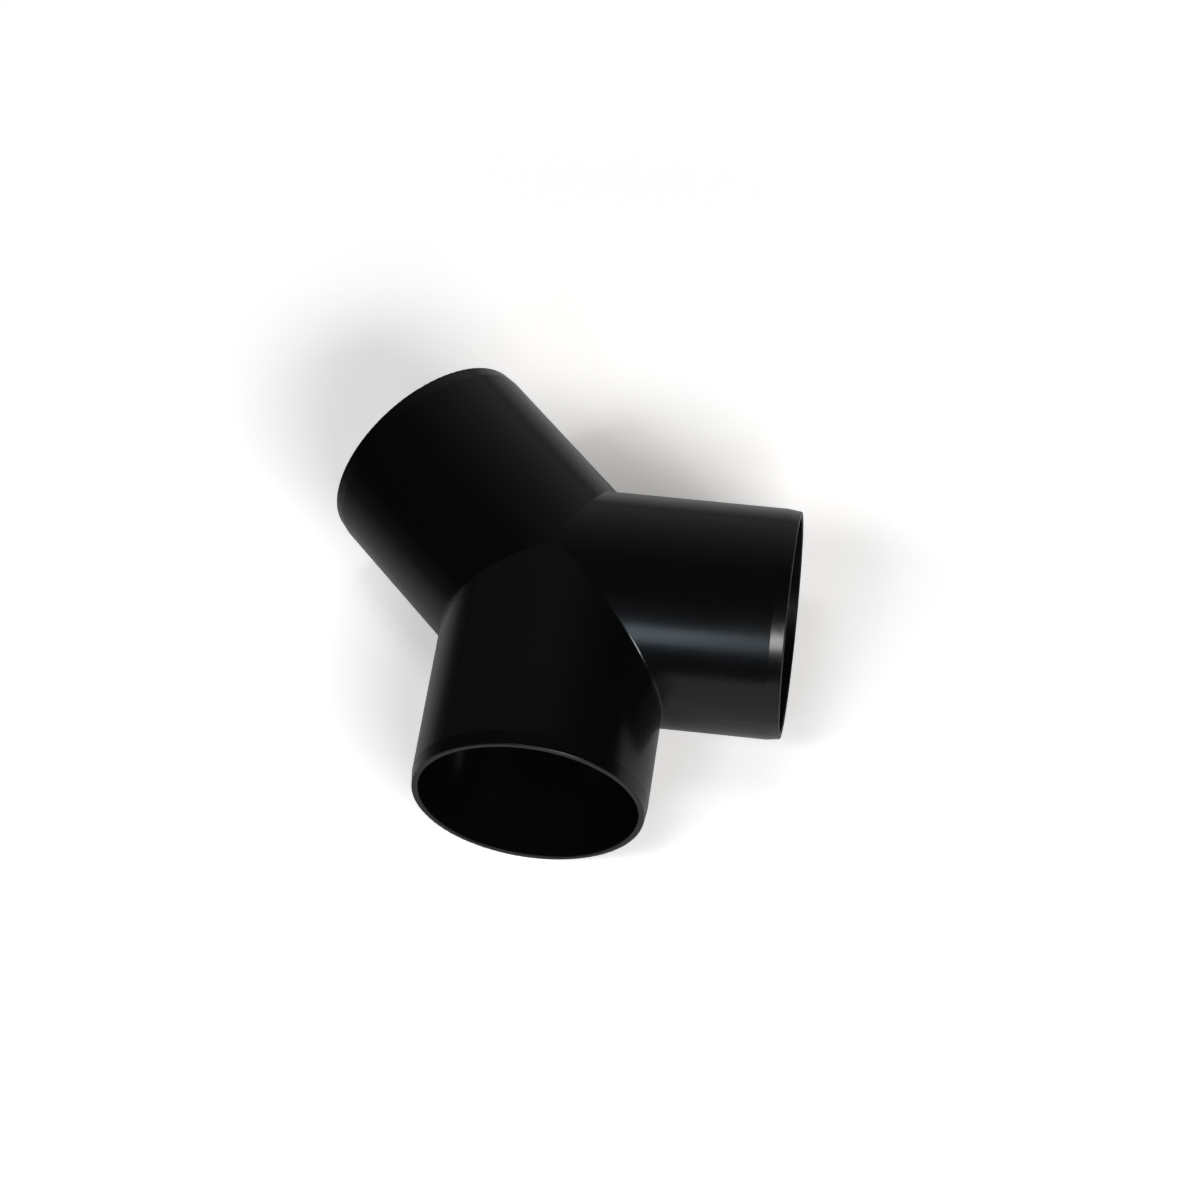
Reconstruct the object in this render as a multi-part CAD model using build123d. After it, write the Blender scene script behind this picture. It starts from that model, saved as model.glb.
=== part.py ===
from build123d import *
import os

# Wye fitting for flexible air duct, injection-moulded in black plastic as one piece.
# A trunk and two branches of one diameter have their axes in one plane and meet at one
# point. Duct is pushed over the plain end of each leg, its spigot, and clamped there.
#
# Millimetres, +Z up. The origin is the point where the three axes meet. The trunk points
# along +Y, and the branches lean to either side of -Y. The fitting lies on all three legs.

# Driving dimensions
spigot_diameter = 75.0  # outside of each leg, for 75 mm duct
wall_thickness = 2.5
trunk_length = 75.8  # from the point where the axes meet to the rim
branch_length = 74.9
branch_turn = 45.0  # degrees that each branch turns off the trunk's line
lead_in_length = 4.5  # taper at the end of each spigot, which starts the duct over it
lead_in_depth = 0.6  # how far the taper has come in at the rim, on the radius
rim_round = 0.4  # the rim's outer edge
mouth_chamfer = 0.3  # the rim's inner edge
crease_round = 0.8  # radius in the outside valleys where two legs meet

# Sizes that follow
spigot_radius = spigot_diameter / 2
bore_radius = spigot_radius - wall_thickness
rim_radius = spigot_radius - lead_in_depth

# Each leg's length, and the angle of its axis from the trunk's +Y
legs = [
    (trunk_length, 0),
    (branch_length, 180 + branch_turn),
    (branch_length, 180 - branch_turn),
]


def outer_leg(length):
    """One leg as a solid bar along +Y, with the lead-in turned on its end."""
    half_section = make_face(
        Polyline(
            (0, 0),
            (spigot_radius, 0),
            (spigot_radius, length - lead_in_length),
            (rim_radius, length),
            (0, length),
            close=True,
        )
    )
    return revolve(half_section, Axis.Y)


def leg_core(length):
    """The round core along +Y that leaves one leg hollow."""
    upright = Cylinder(bore_radius, length, align=(Align.CENTER, Align.CENTER, Align.MIN))
    return Rot(X=-90) * upright


def rim_edges(solid, radius):
    """The round edges of one radius, which are all at the rims."""
    circles = solid.edges().filter_by(GeomType.CIRCLE)
    return circles.filter_by(lambda edge: abs(edge.radius - radius) < 1e-4)


def make_wye():
    """The whole moulding: three legs mitred together, hollowed by three meeting cores."""
    outside = Part() + [Rot(Z=turn) * outer_leg(length) for length, turn in legs]
    # The mitres are half ellipses. Their valleys run out where the legs meet in a tangent,
    # at the top and the bottom of the junction.
    mitres = outside.edges().filter_by(GeomType.ELLIPSE)
    outside = fillet(mitres, crease_round)
    cores = Part() + [Rot(Z=turn) * leg_core(length) for length, turn in legs]
    wye = outside - cores
    wye = fillet(rim_edges(wye, rim_radius), rim_round)
    return chamfer(rim_edges(wye, bore_radius), mouth_chamfer)


wye_body = make_wye()

os.makedirs("parts", exist_ok=True)
export_step(wye_body, "parts/wye_body.step")
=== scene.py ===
from math import radians

import bpy
from mathutils import Matrix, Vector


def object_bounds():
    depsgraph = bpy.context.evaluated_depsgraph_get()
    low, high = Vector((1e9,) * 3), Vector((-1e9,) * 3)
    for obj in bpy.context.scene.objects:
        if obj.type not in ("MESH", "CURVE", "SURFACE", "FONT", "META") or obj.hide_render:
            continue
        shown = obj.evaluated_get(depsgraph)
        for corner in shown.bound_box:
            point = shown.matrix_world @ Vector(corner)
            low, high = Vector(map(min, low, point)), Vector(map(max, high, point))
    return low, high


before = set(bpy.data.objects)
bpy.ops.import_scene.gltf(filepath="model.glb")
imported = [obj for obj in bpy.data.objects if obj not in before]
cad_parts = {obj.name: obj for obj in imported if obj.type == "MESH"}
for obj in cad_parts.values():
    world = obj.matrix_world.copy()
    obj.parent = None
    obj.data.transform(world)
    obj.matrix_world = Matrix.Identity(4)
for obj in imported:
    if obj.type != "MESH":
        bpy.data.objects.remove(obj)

cad_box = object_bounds()

# A wye fitting that joins three runs of flexible duct, moulded in black ABS as one piece.
# It lies on a white sheet, with its trunk towards +Y and its branches on either side of -Y.
# Metres, +Z up, from the point where the axes of the three legs meet.


# Camera
#
# A long lens, high in front of the left branch, so that the branch comes towards the eye and
# its open end shows. Its roll leaves the right branch almost level in view.

camera_turn = -33.734  # degrees round +Z
camera_tilt = 32.338
camera_roll = -3.879
camera_place = (0.01231, 0.00088, 1.04887)  # to the right, up and back in its own axes

camera_data = bpy.data.cameras.new("camera")
camera_data.lens = 96.7
camera_data.sensor_width = 36
camera = bpy.data.objects.new("camera", camera_data)
bpy.context.collection.objects.link(camera)
bpy.context.scene.camera = camera

camera.matrix_world = (
    Matrix.Rotation(radians(camera_turn), 4, "Z")
    @ Matrix.Rotation(radians(camera_tilt), 4, "X")
    @ Matrix.Rotation(radians(camera_roll), 4, "Z")
    @ Matrix.Translation(camera_place)
)


# White sheet
#
# Matt white card that the fitting lies on, an even white with no shine. The lamps light it
# near the fitting, where it takes the shadows. Past its lit part it is plain white.

def add_node(tree, kind, inputs=None, **settings):
    """Adds a node with its settings. Each input takes a value, or the output of another node."""
    made = tree.nodes.new(kind)
    for name, value in settings.items():
        setattr(made, name, value)
    for name, value in (inputs or {}).items():
        if isinstance(value, bpy.types.NodeSocket):
            tree.links.new(value, made.inputs[name])
        else:
            made.inputs[name].default_value = value
    return made


def linear(colour):
    """The shader colour of an sRGB hex value."""
    channels = [int(colour[i : i + 2], 16) / 255 for i in (0, 2, 4)]
    return [c / 12.92 if c <= 0.04045 else ((c + 0.055) / 1.055) ** 2.4 for c in channels] + [1]


sheet_width = 12
card_white = linear("ffffff")
card_lift = 0.24  # what the card's plain white adds to its lit part
card_lift_tint = linear("fffaf5")
card_lit_to = 0.16  # from under the point where the legs' axes meet
card_fade = 0.08  # over which the lit part gives way to plain white

# The plastic mirrors the card as a grey, as in a dark room. The grey is even from under the
# fitting out past the right branch, and darkens the other way. That darkening is painted
# shade in the card's mirrored colour, standing in for light that falls off behind the fitting.
card_in_gloss = linear("bababa")
card_even_way = (0.788, -0.616, 0)
card_painted_shade_darkest_at = -0.26  # along that way, from under the fitting
card_painted_shade_darkest = 0.12  # as a share of the grey

bpy.ops.mesh.primitive_plane_add(size=sheet_width, location=(0, 0, cad_box[0][2]))
sheet = bpy.context.object
sheet.name = "white_sheet"

card = bpy.data.materials.new("matt_white_card")
card.use_nodes = True
tree = card.node_tree
tree.nodes.clear()
place = add_node(tree, "ShaderNodeTexCoord").outputs["Object"]
distance = add_node(tree, "ShaderNodeVectorMath", {0: place}, operation="LENGTH")
beyond = add_node(
    tree,
    "ShaderNodeMapRange",
    {
        0: distance.outputs["Value"],
        "From Min": card_lit_to,
        "From Max": card_lit_to + card_fade,
    },
    interpolation_type="SMOOTHSTEP",
)
along = add_node(
    tree, "ShaderNodeVectorMath", {0: place, 1: card_even_way}, operation="DOT_PRODUCT"
)
# Painted shade: the card as the plastic mirrors it darkens away from the front lamps.
gloss_painted_shade = add_node(
    tree,
    "ShaderNodeMapRange",
    {
        0: along.outputs["Value"],
        "From Min": card_painted_shade_darkest_at,
        "From Max": 0.0,
        "To Min": card_painted_shade_darkest,
    },
    interpolation_type="SMOOTHSTEP",
)
path = add_node(tree, "ShaderNodeLightPath")
seen = add_node(
    tree,
    "ShaderNodeMath",
    {0: path.outputs["Is Camera Ray"], 1: path.outputs["Is Transmission Ray"]},
    operation="MAXIMUM",
)
seen_white = add_node(tree, "ShaderNodeBsdfDiffuse", {"Color": card_white})
seen_glow = add_node(
    tree, "ShaderNodeEmission", {"Color": card_lift_tint, "Strength": card_lift}
)
seen_lit = add_node(
    tree, "ShaderNodeAddShader", {0: seen_white.outputs[0], 1: seen_glow.outputs[0]}
)
seen_far = add_node(tree, "ShaderNodeEmission")
seen_card = add_node(
    tree,
    "ShaderNodeMixShader",
    {0: beyond.outputs[0], 1: seen_lit.outputs[0], 2: seen_far.outputs[0]},
)
# The mirrored grey of the card, with the painted shade laid into it.
gloss_tone_painted_shade = add_node(
    tree,
    "ShaderNodeMix",
    {"Factor": gloss_painted_shade.outputs[0], 6: (0, 0, 0, 1), 7: card_in_gloss},
    data_type="RGBA",
)
gloss_card = add_node(tree, "ShaderNodeBsdfDiffuse", {"Color": gloss_tone_painted_shade.outputs[2]})
both = add_node(
    tree,
    "ShaderNodeMixShader",
    {0: seen.outputs[0], 1: gloss_card.outputs[0], 2: seen_card.outputs[0]},
)
add_node(tree, "ShaderNodeOutputMaterial", {"Surface": both.outputs[0]})
sheet.data.materials.append(card)


# Lamps
#
# A wide softbox to the right of the camera, and a cooler one on its left, whose reflection
# runs along the right branch. Three weak ones, kept out of reflections, soften the shadows.

softbox_distance = 1.5
fill_side = 0.4


def add_softbox(name, compass, height, width, tall, watts, colour):
    """A softbox that faces the fitting from a bearing, clockwise from +Y, and an elevation."""
    data = bpy.data.lights.new(name, "AREA")
    data.shape = "RECTANGLE"
    data.size = width
    data.size_y = tall
    data.energy = watts
    data.color = linear(colour)[:3]
    lamp = bpy.data.objects.new(name, data)
    bpy.context.collection.objects.link(lamp)
    lamp.matrix_world = (
        Matrix.Rotation(radians(180 - compass), 4, "Z")
        @ Matrix.Rotation(radians(90 - height), 4, "X")
        @ Matrix.Translation((0, 0, softbox_distance))
    )
    lamp.visible_camera = False
    return lamp


add_softbox("softbox_front", -169, 39, 0.85, 0.38, 16.4, "ffffff")
add_softbox("softbox_strip", -123, 36.5, 0.42, 0.40, 2.9, "cce4f4")
for name, compass, height, watts in (
    ("softbox_left", -80, 46, 4.6),
    ("softbox_left_high", -105, 54, 4.0),
    ("softbox_top", 0, 82, 2.8),
):
    fill = add_softbox(name, compass, height, fill_side, fill_side, watts, "ffffff")
    fill.visible_glossy = False


# Room
#
# A dark room with one pale wall behind the fitting and to its right. The wall is palest one
# way and dims to each side of it, and it ends on the right. The camera sees plain white.

white = (1, 1, 1, 1)
wall_level = 0.29
wall_way = (0.766, 0.643, 0)
wall_dimming = 2  # power of the cosine of the angle from that way
wall_left_way = (0.174, 0.985, 0)  # the wall ends at a right angle to this
wall_whole_from = 0.45  # cosine of the angle from there, above which the wall is whole

world = bpy.data.worlds.new("dark_studio")
bpy.context.scene.world = world
world.use_nodes = True
tree = world.node_tree
tree.nodes.clear()
outwards = add_node(tree, "ShaderNodeTexCoord").outputs["Generated"]
to_wall = add_node(
    tree, "ShaderNodeVectorMath", {0: outwards, 1: wall_way}, operation="DOT_PRODUCT"
)
wall = add_node(tree, "ShaderNodeMapRange", {0: to_wall.outputs["Value"]})
wall_shape = add_node(
    tree, "ShaderNodeMath", {0: wall.outputs[0], 1: wall_dimming}, operation="POWER"
)
to_left = add_node(
    tree, "ShaderNodeVectorMath", {0: outwards, 1: wall_left_way}, operation="DOT_PRODUCT"
)
wall_end = add_node(
    tree,
    "ShaderNodeMapRange",
    {0: to_left.outputs["Value"], "From Max": wall_whole_from, "To Max": wall_level},
    interpolation_type="SMOOTHSTEP",
)
wall_light = add_node(
    tree,
    "ShaderNodeMath",
    {0: wall_shape.outputs[0], 1: wall_end.outputs[0]},
    operation="MULTIPLY",
)
room = add_node(
    tree, "ShaderNodeBackground", {"Color": white, "Strength": wall_light.outputs[0]}
)
plain = add_node(tree, "ShaderNodeBackground", {"Color": white})
path = add_node(tree, "ShaderNodeLightPath")
shown = add_node(
    tree,
    "ShaderNodeMixShader",
    {0: path.outputs["Is Camera Ray"], 1: room.outputs[0], 2: plain.outputs[0]},
)
add_node(tree, "ShaderNodeOutputWorld", {"Surface": shown.outputs[0]})


# Wye body
#
# The whole fitting: three thin round legs that meet at mitred creases, with a short taper at
# each end. Injection-moulded black ABS from a two-part tool that opens along Z.

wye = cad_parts["wye_body"]

# Black ABS from a polished tool is nearly black, with a satin gloss and soft-edged highlights.
abs_plastic = bpy.data.materials.new("moulded_black_abs")
abs_plastic.use_nodes = True
tree = abs_plastic.node_tree
shader = tree.nodes["Principled BSDF"]
shader.inputs["Base Color"].default_value = linear("070708")
shader.inputs["IOR"].default_value = 1.5
shader.inputs["Specular IOR Level"].default_value = 0.4
where = add_node(tree, "ShaderNodeTexCoord").outputs["Object"]

# The tool's polish leaves soft satin patches about 11 mm across, and handling adds a few dull
# rubbed spots of 3 to 4 mm. A noise's scale is one over that size in metres.
satin_scale = 90.0
satin_smoothest = 0.19
satin_roughest = 0.25
rub_scale = 280.0
rub_from = 0.6  # noise above this is rubbed
rub_whole_at = 0.78
rub_roughness = 0.06

satin = add_node(
    tree, "ShaderNodeTexNoise", {"Vector": where, "Scale": satin_scale, "Detail": 3.0}
)
satin_level = add_node(
    tree,
    "ShaderNodeMapRange",
    {0: satin.outputs["Fac"], "To Min": satin_smoothest, "To Max": satin_roughest},
)
rubs = add_node(
    tree, "ShaderNodeTexNoise", {"Vector": where, "Scale": rub_scale, "Detail": 4.0}
)
rub_level = add_node(
    tree,
    "ShaderNodeMapRange",
    {
        0: rubs.outputs["Fac"],
        "From Min": rub_from,
        "From Max": rub_whole_at,
        "To Max": rub_roughness,
    },
)
skin_roughness = add_node(
    tree,
    "ShaderNodeMath",
    {0: satin_level.outputs[0], 1: rub_level.outputs[0]},
    operation="ADD",
)

# Each mouth's rim is duller over its last half millimetre, where ducts and hands rub it. The
# ends are how far each leg reaches from the point where the axes meet.
trunk_end = cad_box[1][1]
branch_end = 0.0749
diagonal = 0.7071
rim_worn_from = 0.0006  # back from the end, and so is the next
rim_worn_whole = 0.0001
rim_roughness = 0.1

rim_wear = None
for leg_way, leg_end in (
    ((0, 1, 0), trunk_end),
    ((diagonal, -diagonal, 0), branch_end),
    ((-diagonal, -diagonal, 0), branch_end),
):
    reach = add_node(
        tree, "ShaderNodeVectorMath", {0: where, 1: leg_way}, operation="DOT_PRODUCT"
    )
    worn = add_node(
        tree,
        "ShaderNodeMapRange",
        {
            0: reach.outputs["Value"],
            "From Min": leg_end - rim_worn_from,
            "From Max": leg_end - rim_worn_whole,
        },
    )
    if rim_wear:
        worn = add_node(
            tree,
            "ShaderNodeMath",
            {0: rim_wear.outputs[0], 1: worn.outputs[0]},
            operation="MAXIMUM",
        )
    rim_wear = worn
roughness = add_node(
    tree,
    "ShaderNodeMath",
    {0: rim_wear.outputs[0], 1: rim_roughness, 2: skin_roughness.outputs[0]},
    operation="MULTIPLY_ADD",
)
tree.links.new(roughness.outputs[0], shader.inputs["Roughness"])

# Where the tool's halves meet, a flash line 0.3 mm wide and about 0.02 mm high runs round the
# outside at mid-height. The skin has a grain of 0.4 mm, a few thousandths of a millimetre deep.
flash_half_width = 0.00015
flash_height = 0.00003
flash_strength = 0.5
grain_scale = 2500.0
grain_depth = 0.00001
grain_strength = 0.3

mid_height = add_node(tree, "ShaderNodeSeparateXYZ", {0: where})
off_parting = add_node(
    tree, "ShaderNodeMath", {0: mid_height.outputs["Z"]}, operation="ABSOLUTE"
)
flash = add_node(
    tree,
    "ShaderNodeMapRange",
    {0: off_parting.outputs[0], "From Max": flash_half_width, "To Min": 1.0, "To Max": 0.0},
    interpolation_type="SMOOTHSTEP",
)
flash_line = add_node(
    tree,
    "ShaderNodeBump",
    {"Height": flash.outputs[0], "Strength": flash_strength, "Distance": flash_height},
)
grain = add_node(
    tree, "ShaderNodeTexNoise", {"Vector": where, "Scale": grain_scale, "Detail": 2.0}
)
skin = add_node(
    tree,
    "ShaderNodeBump",
    {
        "Height": grain.outputs["Fac"],
        "Strength": grain_strength,
        "Distance": grain_depth,
        "Normal": flash_line.outputs[0],
    },
)
tree.links.new(skin.outputs[0], shader.inputs["Normal"])

wye.material_slots[0].material = abs_plastic


bpy.context.scene.view_settings.view_transform = "Standard"
